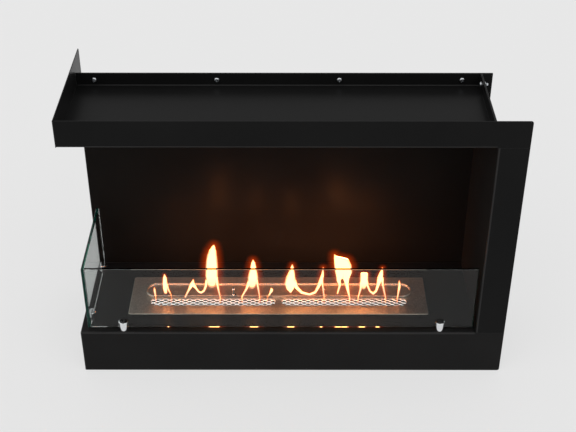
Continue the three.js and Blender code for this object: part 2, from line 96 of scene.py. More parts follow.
def make_floor():
    """Matt and pale. Where it is seen, mirrored or seen through glass, most of it is even."""
    material = plain_material("pale_floor", {
        "Base Color": (floor_tone, floor_tone, floor_tone, 1.0),
        "Roughness": 1.0,
        "Specular IOR Level": 0.0,
    })
    tree = material.node_tree
    even = tree.nodes.new("ShaderNodeEmission")
    even.inputs["Color"].default_value = (backdrop_tone, backdrop_tone, backdrop_tone, 1.0)
    ray = tree.nodes.new("ShaderNodeLightPath")
    seen = ray.outputs["Is Camera Ray"]
    for kind in ("Is Glossy Ray", "Is Transmission Ray"):
        either = tree.nodes.new("ShaderNodeMath")
        either.operation = "MAXIMUM"
        tree.links.new(seen, either.inputs[0])
        tree.links.new(ray.outputs[kind], either.inputs[1])
        seen = either.outputs["Value"]
    share = tree.nodes.new("ShaderNodeMath")
    share.operation = "MULTIPLY"
    share.inputs[1].default_value = backdrop_share
    mix = tree.nodes.new("ShaderNodeMixShader")
    tree.links.new(seen, share.inputs[0])
    tree.links.new(share.outputs["Value"], mix.inputs["Fac"])
    tree.links.new(tree.nodes["Principled BSDF"].outputs["BSDF"], mix.inputs[1])
    tree.links.new(even.outputs["Emission"], mix.inputs[2])
    tree.links.new(mix.outputs["Shader"], tree.nodes["Material Output"].inputs["Surface"])
    return material


floor_mesh = bpy.data.meshes.new("floor")
floor_sheet = bmesh.new()
bmesh.ops.create_grid(floor_sheet, x_segments=2, y_segments=2, size=floor_reach)
floor_sheet.to_mesh(floor_mesh)
floor_sheet.free()
floor = bpy.data.objects.new("floor", floor_mesh)
floor_mesh.materials.append(make_floor())
bpy.context.scene.collection.objects.link(floor)

room = bpy.data.worlds.new("pale_room")
room.use_nodes = True
room.node_tree.nodes["Background"].inputs["Color"].default_value = (room_tone, room_tone, room_tone, 1.0)
bpy.context.scene.world = room

for name, (strength, tilt) in lamps.items():
    lamp = bpy.data.objects.new(name, bpy.data.lights.new(name, "SUN"))
    lamp.data.energy = strength
    lamp.data.angle = lamp_width
    lamp.rotation_euler = tilt
    bpy.context.scene.collection.objects.link(lamp)
bpy.context.scene.view_settings.view_transform = "Standard"


# ---- Sheet-metal shell ---------------------------------------------------------------------------
# Folded and welded from 1.5 mm steel: top tray, right wall, back panel, the base tray's floor with
# its skirt and flanges, and two flat plates on the left. All are sprayed with fine matt black powder,
# which rounds every cut edge a little.
coat_edge = 0.45 * MM
coats = {
    "upper_coat": ((0.0060, 0.0060, 0.0061, 1.0), (0.0088, 0.0088, 0.0087, 1.0), 0.05),
    # The base coat is the same black powder made lighter: painted light on the lower sheets.
    "painted_light_base_coat": ((0.0090, 0.0088, 0.0088, 1.0), (0.0126, 0.0123, 0.0122, 1.0), 0.05),
    # The back coat is the same black powder made darker and a little warmer: painted shade on the back
    # panel.
    "painted_shade_back_coat": ((0.0064, 0.0058, 0.0053, 1.0), (0.0094, 0.0086, 0.0079, 1.0), 0.02),
    # Folds and eased edges get a thinner, shinier coat whose lighter colour is a painted highlight.
    "fold_coat_with_painted_highlight": ((0.0170, 0.0168, 0.0168, 1.0), (0.0250, 0.0247, 0.0245, 1.0), 0.12),
    # The side coat is the same black powder made lighter: painted light on the inner faces of the right
    # wall.
    "painted_light_side_coat": ((0.0130, 0.0124, 0.0118, 1.0), (0.0190, 0.0180, 0.0173, 1.0), 0.05),
    "fin_coat": ((0.0060, 0.0060, 0.0061, 1.0), (0.0088, 0.0088, 0.0087, 1.0), 0.11),
}
# Each sheet stands for one node or more. The last two values are the coat of its inner faces, if it
# differs there, and the way along X that they look.
sheets = {
    "top_tray": (("top_tray",), "upper_coat", "upper_coat", 0),
    "left_fascia": (("left_fascia",), "upper_coat", "fin_coat", 1),
    "base_tray": (("base_skirt", "hearth_floor", "base_rear_flange"), "painted_light_base_coat", "painted_light_base_coat", 0),
    "base_right_flange": (("base_right_flange",), "painted_light_base_coat", "painted_light_base_coat", 0),
    "left_skirt": (("left_skirt",), "painted_light_base_coat", "painted_light_base_coat", 0),
    # Its inner faces carry painted light, a lighter coat than its front bar.
    "right_wall": (("right_wall",), "upper_coat", "painted_light_side_coat", -1),
    "back_panel": (("back_panel",), "painted_shade_back_coat", "painted_shade_back_coat", 0),
}
flat_enough = 0.985
flat_turn = radians(0.5)
sharp_turn = radians(30.0)
merge_within = 0.002 * MM
weld_gap = 0.25 * MM
weld_within = 0.01 * MM
no_area = 1e-12
mask_span = (0.3, 0.7)


def shader_group(name, inputs, outputs):
    """A shader node group with named float inputs and outputs."""
    group = bpy.data.node_groups.new(name, "ShaderNodeTree")
    for label, value in inputs.items():
        socket = group.interface.new_socket(label, in_out="INPUT", socket_type="NodeSocketFloat")
        socket.default_value = value
    for label in outputs:
        group.interface.new_socket(label, in_out="OUTPUT", socket_type="NodeSocketFloat")
    return group, group.nodes.new("NodeGroupInput"), group.nodes.new("NodeGroupOutput")


def make_speckle():
    """Fine grain with slow clouds in it: a mask between 0 and 1, and a height for bumps."""
    group, given, result = shader_group(
        "speckle", {"Grain Scale": 900.0, "Cloud Scale": 9.0, "Cloud Share": 0.5}, ("Mask", "Height"),
    )
    nodes, links = group.nodes, group.links
    place = nodes.new("ShaderNodeTexCoord")
    grain = nodes.new("ShaderNodeTexNoise")
    grain.inputs["Detail"].default_value = 3.0
    cloud = nodes.new("ShaderNodeTexNoise")
    cloud.inputs["Detail"].default_value = 4.0
    blend = nodes.new("ShaderNodeMix")
    links.new(place.outputs["Object"], grain.inputs["Vector"])
    links.new(place.outputs["Object"], cloud.inputs["Vector"])
    links.new(given.outputs["Grain Scale"], grain.inputs["Scale"])
    links.new(given.outputs["Cloud Scale"], cloud.inputs["Scale"])
    links.new(given.outputs["Cloud Share"], blend.inputs["Factor"])
    links.new(grain.outputs["Fac"], blend.inputs["A"])
    links.new(cloud.outputs["Fac"], blend.inputs["B"])
    links.new(blend.outputs["Result"], result.inputs["Mask"])
    links.new(grain.outputs["Fac"], result.inputs["Height"])
    return group


speckle = make_speckle()


def place_group(material, group, settings):
    """Puts a node group into a material with its own values."""
    node = material.node_tree.nodes.new("ShaderNodeGroup")
    node.node_tree = group
    for socket, value in settings.items():
        node.inputs[socket].default_value = value
    return node


def tint(material, mask, low, high):
    """Runs the base colour from low to high as the mask crosses its span."""
    tree = material.node_tree
    ramp = tree.nodes.new("ShaderNodeValToRGB")
    for stop, position, colour in zip(ramp.color_ramp.elements, mask_span, (low, high)):
        stop.position = position
        stop.color = colour
    tree.links.new(mask, ramp.inputs["Fac"])
    tree.links.new(ramp.outputs["Color"], tree.nodes["Principled BSDF"].inputs["Base Color"])


def vary(material, mask, low, high):
    """Runs the roughness from low to high as the mask crosses its span."""
    tree = material.node_tree
    span = tree.nodes.new("ShaderNodeMapRange")
    for socket, value in zip(("From Min", "From Max", "To Min", "To Max"), mask_span + (low, high)):
        span.inputs[socket].default_value = value
    tree.links.new(mask, span.inputs["Value"])
    tree.links.new(span.outputs["Result"], tree.nodes["Principled BSDF"].inputs["Roughness"])


def dent(material, height, depth, strength):
    """Bumps the surface by a height of 0 to 1 over the given depth."""
    tree = material.node_tree
    bump = tree.nodes.new("ShaderNodeBump")
    bump.inputs["Distance"].default_value = depth
    bump.inputs["Strength"].default_value = strength
    tree.links.new(height, bump.inputs["Height"])
    tree.links.new(bump.outputs["Normal"], tree.nodes["Principled BSDF"].inputs["Normal"])


def make_powder_coat(name, dark, light, shine):
    """Matt black powder, baked to a fine even grain."""
    material = plain_material(name, {"Specular IOR Level": shine})
    grain = place_group(material, speckle, {"Grain Scale": 1400.0, "Cloud Scale": 7.0, "Cloud Share": 0.6})
    tint(material, grain.outputs["Mask"], dark, light)
    vary(material, grain.outputs["Mask"], 0.28, 0.37)
    dent(material, grain.outputs["Height"], 0.05 * MM, 0.6)
    return material


def copied(node):
    """A node's mesh as one welded solid, without the edges that cross its flat faces."""
    solid = bmesh.new()
    solid.from_mesh(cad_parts[node].data)
    bmesh.ops.remove_doubles(solid, verts=solid.verts, dist=merge_within)
    bmesh.ops.dissolve_limit(solid, angle_limit=flat_turn, verts=solid.verts, edges=solid.edges)
    return solid


def joined(solids):
    """Several meshes as one."""
    whole = bmesh.new()
    mesh = bpy.data.meshes.new("part")
    for solid in solids:
        solid.to_mesh(mesh)
        solid.free()
        whole.from_mesh(mesh)
    bpy.data.meshes.remove(mesh)
    return whole


def butt_welded(nodes):
    """Sheets that meet end to end along Y in one mesh, with the weld between them ground flush."""
    boxes = sorted((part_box(node) for node in nodes), key=lambda box: box[0].y)
    seams = [(first[1].y, second[0].y) for first, second in zip(boxes, boxes[1:])]
    sheet = joined(copied(node) for node in nodes)
    for end, start in seams:
        for vert in sheet.verts:
            if end - weld_gap < vert.co.y < start + weld_gap:
                vert.co.y = (end + start) / 2
    hidden = [
        face for face in sheet.faces if face.calc_area() < no_area or any(
            max(abs(vert.co.y - (end + start) / 2) for vert in face.verts) < weld_within
            for end, start in seams
        )
    ]
    bmesh.ops.delete(sheet, geom=hidden, context="FACES")
    bmesh.ops.remove_doubles(sheet, verts=sheet.verts, dist=weld_within)
    bmesh.ops.dissolve_limit(sheet, angle_limit=flat_turn, verts=sheet.verts, edges=sheet.edges)
    return sheet


def ease_edges(solid, width, steps=2, clamped=True):
    """Rounds every sharp edge. Clamped, it stops short where a face is too narrow."""
    sharp = [
        edge for edge in solid.edges
        if len(edge.link_faces) == 2 and edge.calc_face_angle() > sharp_turn
    ]
    eased = bmesh.ops.bevel(
        solid, geom=sharp, offset=width, offset_type="OFFSET", segments=steps, profile=0.5,
        affect="EDGES", material=-1, clamp_overlap=clamped,
    )
    for face in eased["faces"]:
        face.smooth = True


def add_piece(name, solid, material, body, finish, *stands_for):
    """Makes a mesh a piece of the object that rides on a body and stands for CAD nodes."""
    mesh = bpy.data.meshes.new(name)
    solid.to_mesh(mesh)
    solid.free()
    mesh.materials.append(material)
    piece = bpy.data.objects.new(name, mesh)
    bpy.context.scene.collection.objects.link(piece)
    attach(piece, body)
    if stands_for:
        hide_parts(*stands_for)
    return piece


powder = {name: make_powder_coat(name, *look) for name, look in coats.items()}
for name, (nodes, coat, inner_coat, inward) in sheets.items():
    sheet = butt_welded(nodes)
    ease_edges(sheet, coat_edge)
    # The first coat is on the flat faces, the second on folds and edges, where a lighter colour paints a
    # highlight, the third on inner faces.
    for face in sheet.faces:
        if max(map(abs, face.normal)) < flat_enough:
            face.material_index = 1
        elif face.normal.x * inward > flat_enough:
            face.material_index = 2
    piece = add_piece(f"coated_{name}", sheet, powder[coat], "firebox", "black_coat", *nodes)
    piece.data.materials.append(powder["fold_coat_with_painted_highlight"])
    piece.data.materials.append(powder[inner_coat])


# ---- Screws, bolts and nuts ----------------------------------------------------------------------
# Zinc-plated M5 pan-head screws with a cross recess join the trays to the back panel and the right
# wall, each drawn up by a hexagon nut on the far side. M4 ones hold the glass posts from below.
zinc_tone = (0.62, 0.64, 0.66, 1.0)
zinc_dull = (0.48, 0.50, 0.52, 1.0)
# The kind of screw at each place, the axis that it points along, and how many there are in a row.
screw_rows = {"rear": ("screw", "Y", 4), "side": ("bolt", "X", 2)}
post_places = ("front_left", "front_right", "side_front", "side_rear")
# The width of the shank and of the head, the head's height, and the pitch of the thread.
m5_screw = (5 * MM, 9.5 * MM, 3 * MM, 0.8 * MM)
m4_screw = (4 * MM, 7.6 * MM, 2.6 * MM, 0.7 * MM)
nut_across = 8 * MM
nut_bore = 5.5 * MM
turning_steps = 32


def turned(profile, steps=turning_steps):
    """Turns (radius, height) points round +Z into a closed solid."""
    solid = bmesh.new()
    verts = [solid.verts.new((radius, 0.0, height)) for radius, height in profile]
    edges = [solid.edges.new(pair) for pair in zip(verts, verts[1:])]
    bmesh.ops.spin(
        solid, geom=verts + edges, cent=(0, 0, 0), axis=(0, 0, 1), angle=2 * pi, steps=steps,
        use_merge=True,
    )
    bmesh.ops.remove_doubles(solid, verts=solid.verts, dist=0.001 * MM)
    bmesh.ops.recalc_face_normals(solid, faces=solid.faces)
    for face in solid.faces:
        face.smooth = True
    return solid


def crease(solid, sharper_than=35.0):
    """Keeps the shading crisp across edges that turn by more than the given angle."""
    for edge in solid.edges:
        if len(edge.link_faces) == 2 and edge.calc_face_angle() > radians(sharper_than):
            edge.smooth = False


def block(low, high):
    """A box between two corners."""
    solid = bmesh.new()
    bmesh.ops.create_cube(solid, size=1.0)
    low, high = Vector(low), Vector(high)
    bmesh.ops.scale(solid, vec=high - low, verts=solid.verts)
    bmesh.ops.translate(solid, vec=(low + high) / 2, verts=solid.verts)
    return solid


def carved(solid, cutter):
    """The solid with the cutter's space taken out of it."""
    objects = []
    for name, shape in (("solid", solid), ("cutter", cutter)):
        mesh = bpy.data.meshes.new(name)
        shape.to_mesh(mesh)
        shape.free()
        objects.append(bpy.data.objects.new(name, mesh))
        bpy.context.scene.collection.objects.link(objects[-1])
    cut = objects[0].modifiers.new("cut", "BOOLEAN")
    cut.operation = "DIFFERENCE"
    cut.solver = "EXACT"
    cut.object = objects[1]
    bpy.context.view_layer.update()
    seen = objects[0].evaluated_get(bpy.context.evaluated_depsgraph_get())
    result = bmesh.new()
    result.from_mesh(seen.to_mesh())
    seen.to_mesh_clear()
    for leftover in objects:
        mesh = leftover.data
        bpy.data.objects.remove(leftover)
        bpy.data.meshes.remove(mesh)
    bmesh.ops.remove_doubles(result, verts=result.verts, dist=0.001 * MM)
    return result


def pan_head_screw(shank, length, head, head_height, pitch):
    """A screw along +Z with its head below 0, a cross recess in it and a rolled thread above."""
    core = shank / 2 - 0.6 * pitch
    profile = [
        (0.0, -head_height),
        (0.22 * head, -head_height),
        (0.36 * head, -0.90 * head_height),
        (0.45 * head, -0.66 * head_height),
        (0.495 * head, -0.34 * head_height),
        (0.5 * head, -0.1 * head_height),
        (0.48 * head, 0.0),
        (core, 0.0),
    ]
    turns = int((length - 1.5 * pitch) / pitch)
    for turn in range(turns):
        start = 0.5 * pitch + turn * pitch
        profile += [(core, start), (shank / 2, start + 0.45 * pitch), (shank / 2, start + 0.6 * pitch)]
    profile += [(core, length - 0.4 * pitch), (0.7 * core, length), (0.0, length)]
    screw = turned(profile)
    reach = 0.27 * head
    half = 0.055 * head
    depth = 0.62 * head_height
    across = block((-reach, -half, -2 * head_height), (reach, half, depth - head_height))
    upright = block((-half, -reach, -2 * head_height), (half, reach, depth - head_height))
    screw = carved(carved(screw, across), upright)
    crease(screw)
    return screw


def hexagon_nut(across, bore, height):
    """A nut along +Z with chamfered corners and a plain bore, countersunk at both faces."""
    nut = bmesh.new()
    sides = 24
    rim = 0.12 * height
    lips = ((0.48 * across, 0.0), (None, rim), (None, height - rim), (0.48 * across, height))
    bores = ((0.55 * bore, height), (0.46 * bore, height - rim), (0.46 * bore, rim), (0.55 * bore, 0.0))
    loops = []
    for radius, level in lips + bores:
        ring = bmesh.ops.create_circle(nut, segments=sides, radius=radius or 1.0)["verts"]
        for vert in ring:
            if radius is None:
                turn = (vert.co.to_2d().angle_signed(Vector((1.0, 0.0))) + pi / 6) % (pi / 3) - pi / 6
                vert.co *= 0.5 * across / cos(turn)
            vert.co.z = level
        loops.append([edge for edge in nut.edges if edge.verts[0] in ring and edge.verts[1] in ring])
    for first, second in zip(loops, loops[1:] + loops[:1]):
        bmesh.ops.bridge_loops(nut, edges=first + second)
    bmesh.ops.recalc_face_normals(nut, faces=nut.faces)
    return nut


def make_zinc():
    """Bright zinc plating, a little cloudy."""
    material = plain_material("bright_zinc", {"Metallic": 1.0})
    grain = place_group(material, speckle, {"Grain Scale": 1500.0, "Cloud Scale": 160.0, "Cloud Share": 0.7})
    tint(material, grain.outputs["Mask"], zinc_dull, zinc_tone)
    vary(material, grain.outputs["Mask"], 0.22, 0.36)
    dent(material, grain.outputs["Height"], 0.02 * MM, 0.5)
    return material


def laid_along(axis, solid, origin):
    """Turns a solid on +Z to the named axis and moves it to its place."""
    turn = {"X": Matrix.Rotation(pi / 2, 3, "Y"), "Y": Matrix.Rotation(-pi / 2, 3, "X"), "Z": Matrix()}
    bmesh.ops.rotate(solid, cent=(0, 0, 0), matrix=turn[axis].to_3x3(), verts=solid.verts)
    bmesh.ops.translate(solid, vec=origin, verts=solid.verts)
    return solid


def seat_of(node, axis, above=0.0):
    """A point on the middle line of a node's box, above its low end, and the box's length."""
    low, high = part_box(node)
    middle = (low + high) / 2
    index = "XYZ".index(axis)
    middle[index] = low[index] + above
    return middle, (high - low)[index]


zinc = make_zinc()


def fit_screw(node, axis, shank, head, head_height, pitch):
    """Puts a screw in its node's box, with its head at the low end."""
    seat, length = seat_of(node, axis, head_height)
    screw = pan_head_screw(shank, length - head_height, head, head_height, pitch)
    add_piece(f"plated_{node}", laid_along(axis, screw, seat), zinc, "firebox", "zinc_steel", node)


for row in ("top", "base"):
    for place, (kind, axis, count) in screw_rows.items():
        for number in range(1, count + 1):
            fit_screw(f"{row}_{place}_{kind}_{number}", axis, *m5_screw)
            nut_node = f"{row}_{place}_nut_{number}"
            near_end, height = seat_of(nut_node, axis)
            nut = laid_along(axis, hexagon_nut(nut_across, nut_bore, height), near_end)
            add_piece(f"plated_{nut_node}", nut, zinc, "firebox", "zinc_steel", nut_node)

for place in post_places:
    fit_screw(f"{place}_post_screw", "Z", *m4_screw)
    grub_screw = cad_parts[f"{place}_grub_screw"].data
    grub_screw.materials.clear()
    grub_screw.materials.append(zinc)


# ---- Glass panes ---------------------------------------------------------------------------------
# Two panes of 5 mm toughened float glass stand just inside the front and the left opening. Their
# edges are ground and polished, and look green because light reaches them through the whole pane.
pane_edge = 0.5 * MM
glass_tint = (0.0, 0.80, 0.40, 1.0)
glass_depth = 5.5


def make_glass(name, colour, clearness):
    """Float glass with a green body and the faint smears of a wiped pane."""
    material = plain_material(name, {
        "Base Color": colour,
        "Transmission Weight": clearness,
        "IOR": 1.47,
        "Specular Tint": (0.24, 0.24, 0.24, 1.0),
        "Roughness": 0.0,
    })
    tree = material.node_tree
    smear = place_group(material, speckle, {"Grain Scale": 60.0, "Cloud Scale": 7.0, "Cloud Share": 0.8})
    vary(material, smear.outputs["Mask"], 0.0, 0.012)
    body = tree.nodes.new("ShaderNodeVolumeAbsorption")
    body.inputs["Color"].default_value = glass_tint
    body.inputs["Density"].default_value = glass_depth
    tree.links.new(body.outputs["Volume"], tree.nodes["Material Output"].inputs["Volume"])
    return material


glass = make_glass("clear_float_glass", (1.0, 1.0, 1.0, 1.0), 1.0)
green_edge = make_glass("polished_glass_edge", (0.03, 0.34, 0.24, 1.0), 0.92)
for node in ("front_glass", "side_glass"):
    pane = copied(node)
    ease_edges(pane, pane_edge, steps=1)
    across = Vector((1, 0, 0)) if node == "front_glass" else Vector((0, 1, 0))
    # Green shows at both ends of the front pane, and at the front end and the top of the side pane.
    for face in pane.faces:
        face.smooth = False
        end_face = abs(face.normal.dot(across)) > 0.5 and face.normal.y < 0.5
        side_top = node == "side_glass" and face.normal.z > 0.5
        face.material_index = 1 if end_face or side_top else 0
    piece = add_piece(f"polished_{node}", pane, glass, "firebox", "clear_glass", node)
    piece.data.materials.append(green_edge)


# ---- Glass posts ---------------------------------------------------------------------------------
# Four turned and chromed posts carry the panes. Each has a milled slot for the glass and a tapped
# cross hole for the grub screw, and is screwed down through the hearth floor.
post_radius = 9 * MM
post_height = 18 * MM
post_rim = 0.8 * MM
post_foot = 0.3 * MM
post_slot = 5.4 * MM
post_slot_floor = 4.6 * MM
post_bore = 4.4 * MM
grub_level = 13.5 * MM
post_steps = 64
bore_steps = 24
chrome_tone = (0.80, 0.81, 0.82, 1.0)
chrome_haze = (0.70, 0.71, 0.73, 1.0)


def make_chrome():
    """Polished chrome with a slight haze."""
    material = plain_material("polished_chrome", {"Metallic": 1.0})
    haze = place_group(material, speckle, {"Grain Scale": 500.0, "Cloud Scale": 90.0, "Cloud Share": 0.6})
    tint(material, haze.outputs["Mask"], chrome_haze, chrome_tone)
    vary(material, haze.outputs["Mask"], 0.05, 0.11)
    return material


def drilling(start, end):
    """The space that a screw's hole takes up along +Z."""
    radius = post_bore / 2
    return turned([(0.0, start), (radius, start), (radius, end), (0.0, end)], bore_steps)


def glass_post():
    """A post on +Z with its slot along X and the grub screw's hole on its +Y side."""
    turns = [step * pi / 8 for step in range(5)]
    rounded = [
        (post_radius - post_rim * (1 - cos(turn)), post_height - post_rim * (1 - sin(turn)))
        for turn in turns
    ]
    foot = [(0.0, 0.0), (post_radius - post_foot, 0.0), (post_radius, post_foot)]
    post = turned(foot + rounded + [(0.0, post_height)], post_steps)
    slot = block((-2 * post_radius, -post_slot / 2, post_slot_floor),
                 (2 * post_radius, post_slot / 2, 2 * post_height))
    grub_hole = laid_along("Y", drilling(0.0, 2 * post_radius), Vector((0, 0, grub_level)))
    fixing_hole = drilling(-MM, post_height)
    post = carved(carved(carved(post, slot), grub_hole), fixing_hole)
    crease(post, 25.0)
    return post


chrome = make_chrome()
for place in post_places:
    node = f"{place}_glass_post"
    low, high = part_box(node)
    post = glass_post()
    if place.startswith("side"):
        bmesh.ops.rotate(post, cent=(0, 0, 0), matrix=Matrix.Rotation(-pi / 2, 3, "Z"), verts=post.verts)
    bmesh.ops.translate(post, vec=((low.x + high.x) / 2, (low.y + high.y) / 2, low.z), verts=post.verts)
    add_piece(f"chromed_{node}", post, chrome, "firebox", "chrome", node)


# ---- Burner plate, tank and wool -----------------------------------------------------------------
# The burner is a brushed stainless plate with two long slots, and under it a tank welded from five
# plates, with sooty ceramic wool in it. It hangs in the hearth's cut-out and lifts out as a whole.
steel_light = (0.80, 0.73, 0.65, 1.0)
steel_dark = (0.50, 0.45, 0.39, 1.0)
steel_polish = (0.40, 0.56)
plate_edge = 0.85 * MM
tank_light = (0.55, 0.55, 0.54, 1.0)
tank_dark = (0.42, 0.42, 0.42, 1.0)
tank_polish = (0.34, 0.50)
tank_edge = 0.3 * MM
tank_plates = ("tank_floor", "tank_left_end", "tank_right_end", "tank_front_wall", "tank_back_wall")
wool_light = (0.36, 0.34, 0.31, 1.0)
wool_dark = (0.12, 0.11, 0.10, 1.0)
wool_sink = 2.5 * MM
wool_lumps = 60.0


def make_brushing():
    """Straight brush marks along X: a mask between 0 and 1 that varies across them."""
    group, given, result = shader_group(
        "brushing", {"Along Scale": 12.0, "Across Scale": 900.0}, ("Mask",),
    )
    nodes, links = group.nodes, group.links
    place = nodes.new("ShaderNodeTexCoord")
    scales = nodes.new("ShaderNodeCombineXYZ")
    stretch = nodes.new("ShaderNodeVectorMath")
    stretch.operation = "MULTIPLY"
    marks = nodes.new("ShaderNodeTexNoise")
    marks.inputs["Scale"].default_value = 1.0
    marks.inputs["Detail"].default_value = 3.0
    links.new(given.outputs["Along Scale"], scales.inputs["X"])
    links.new(given.outputs["Across Scale"], scales.inputs["Y"])
    links.new(given.outputs["Across Scale"], scales.inputs["Z"])
    links.new(place.outputs["Object"], stretch.inputs[0])
    links.new(scales.outputs["Vector"], stretch.inputs[1])
    links.new(stretch.outputs["Vector"], marks.inputs["Vector"])
    links.new(marks.outputs["Fac"], result.inputs["Mask"])
    return group


brushing = make_brushing()


def make_brushed_steel(name, low, high, smooth, rough):
    """Stainless steel, brushed along X and stained in small spots."""
    material = plain_material(name, {"Metallic": 1.0})
    marks = place_group(material, brushing, {"Along Scale": 14.0, "Across Scale": 1100.0})
    cloud = place_group(material, speckle, {"Grain Scale": 520.0, "Cloud Scale": 190.0, "Cloud Share": 0.35})
    tint(material, cloud.outputs["Mask"], low, high)
    vary(material, marks.outputs["Mask"], smooth, rough)
    dent(material, marks.outputs["Mask"], 0.04 * MM, 0.5)
    return material


brushed_steel = make_brushed_steel("brushed_stainless", steel_dark, steel_light, *steel_polish)
plate = copied("burner_plate")
ease_edges(plate, plate_edge, steps=3, clamped=False)
add_piece("brushed_burner_plate", plate, brushed_steel, "burner", "brushed_stainless", "burner_plate")

tank_steel = make_brushed_steel("tank_stainless", tank_dark, tank_light, *tank_polish)
for node in tank_plates:
    side = copied(node)
    ease_edges(side, tank_edge)
    add_piece(f"welded_{node}", side, tank_steel, "burner", "tank_stainless", node)


def make_wool():
    """Pale ceramic fibre, grey with soot."""
    material = plain_material("ceramic_fibre", {"Roughness": 0.95, "Specular IOR Level": 0.1})
    fibre = place_group(material, speckle, {"Grain Scale": 420.0, "Cloud Scale": 60.0, "Cloud Share": 0.5})
    tint(material, fibre.outputs["Mask"], wool_dark, wool_light)
    dent(material, fibre.outputs["Height"], 1.0 * MM, 0.8)
    return material


def wool_mat():
    """A soft mat in the node's box, its top gently uneven."""
    low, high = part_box("ceramic_wool")
    mat = block(low, high)
    bmesh.ops.subdivide_edges(mat, edges=mat.edges, cuts=3, use_grid_fill=True)
    along = [edge for edge in mat.edges if abs((edge.verts[0].co - edge.verts[1].co).x) > 10 * MM]
    bmesh.ops.subdivide_edges(mat, edges=along, cuts=15, use_grid_fill=True)
    for vert in mat.verts:
        sink = wool_sink * (0.5 + 0.5 * noise.noise(vert.co * wool_lumps))
        vert.co.z -= sink * max(0.0, (vert.co.z - low.z) / (high.z - low.z))
    for face in mat.faces:
        face.smooth = True
    crease(mat, 60.0)
    return mat


add_piece("ceramic_wool_mat", wool_mat(), make_wool(), "burner", "ceramic_wool", "ceramic_wool")


# ---- Expanded metal in the slots -----------------------------------------------------------------
# A strip of bright expanded stainless lies under each slot. Slitting and stretching the sheet has
# turned its strands on edge, so that each one leans and catches the light.
mesh_pitch = 14.8 * MM
mesh_row = 3.9 * MM
mesh_rows = 6
mesh_border = 1.4 * MM
mesh_light = (0.97, 0.97, 0.96, 1.0)
mesh_dark = (0.82, 0.82, 0.81, 1.0)
strand_width = 1.2 * MM
strand_thick = 0.45 * MM
strand_lean = radians(40.0)
strand_swing = 0.86
strand_depth = 0.85 * MM
strand_steps = 12


def make_mesh_metal():
    """Bare stainless, bright where it was cut and stretched."""
    material = plain_material("bright_expanded_metal", {"Metallic": 1.0})
    grain = place_group(material, speckle, {"Grain Scale": 900.0, "Cloud Scale": 120.0, "Cloud Share": 0.5})
    tint(material, grain.outputs["Mask"], mesh_dark, mesh_light)
    vary(material, grain.outputs["Mask"], 0.26, 0.40)
    return material


def leaning_strand(start, end, middle_y, shift, level):
    """One strand that swings from bond to bond along X, its flat side leaning to the front."""
    stations = round((end - start) / mesh_pitch * strand_steps)
    strand = bmesh.new()
    bmesh.ops.create_grid(strand, x_segments=stations, y_segments=4, size=0.5)
    corners = [
        Vector((across * cos(strand_lean) - thick * sin(strand_lean),
                across * sin(strand_lean) + thick * cos(strand_lean)))
        for across, thick in (
            (-strand_width / 2, -strand_thick / 2), (strand_width / 2, -strand_thick / 2),
            (strand_width / 2, strand_thick / 2), (-strand_width / 2, strand_thick / 2),
        )
    ]
    for vert in strand.verts:
        along = vert.co.x + 0.5
        section = corners[round((vert.co.y + 0.5) * 4) % 4]
        x = start + (end - start) * along
        swing = 0.5 * mesh_row * strand_swing * cos(2 * pi * (x - shift) / mesh_pitch)
        vert.co = Vector((x, middle_y + swing + section.x, level + section.y))
    bmesh.ops.remove_doubles(strand, verts=strand.verts, dist=0.001 * MM)
    bmesh.ops.holes_fill(strand, edges=strand.edges)
    bmesh.ops.recalc_face_normals(strand, faces=strand.faces)
    return strand


mesh_metal = make_mesh_metal()
for side in ("left", "right"):
    node = f"{side}_slot_mesh"
    low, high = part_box(node)
    middle = (low + high) / 2
    left, right = low.x + mesh_border, high.x - mesh_border
    front, back = low.y + mesh_border, high.y - mesh_border
    strands = [
        leaning_strand(
            left, right, middle.y + (row + 0.5) * mesh_row,
            middle.x + (mesh_pitch / 2 if row % 2 else 0.0), high.z - strand_depth,
        )
        for row in range(-mesh_rows // 2, mesh_rows // 2)
    ]
    edging = [
        block((low.x, low.y, low.z), (high.x, front, high.z)),
        block((low.x, back, low.z), (high.x, high.y, high.z)),
        block((low.x, front, low.z), (left, back, high.z)),
        block((right, front, low.z), (high.x, back, high.z)),
    ]
    add_piece(f"stretched_{node}", joined(strands + edging), mesh_metal, "burner", "expanded_mesh", node)


# ---- Snuffer lid and its pins --------------------------------------------------------------------
# A shallow pressed tray of brushed stainless with round ends and an upturned rim, parked behind the
# slots. A hook on either of its two riveted pins pulls it forward over the flames.
lid_sheet = 1.5 * MM
lid_ease = 0.5 * MM
arc_steps = 24
# Darker steel for the painted shade on the inner wall of the rim.
painted_shade_light = (0.19, 0.17, 0.15, 1.0)
painted_shade_dark = (0.10, 0.09, 0.08, 1.0)
pin_ball = 3.0 * MM
pin_neck = 1.75 * MM
pin_steps = 48


def stadium_ring(solid, length, width, level):
    """A closed loop with half-round ends, added to the solid at a height."""
    ring = bmesh.ops.create_circle(solid, segments=4 * arc_steps, radius=width / 2)["verts"]
    middle = [vert for vert in ring if abs(vert.co.x) < 1e-7]
    for vert in ring:
        vert.co.z = level
        if vert not in middle:
            vert.co.x += (length - width) / 2 * (1 if vert.co.x > 0 else -1)
    return [edge for edge in solid.edges if edge.verts[0] in ring and edge.verts[1] in ring]


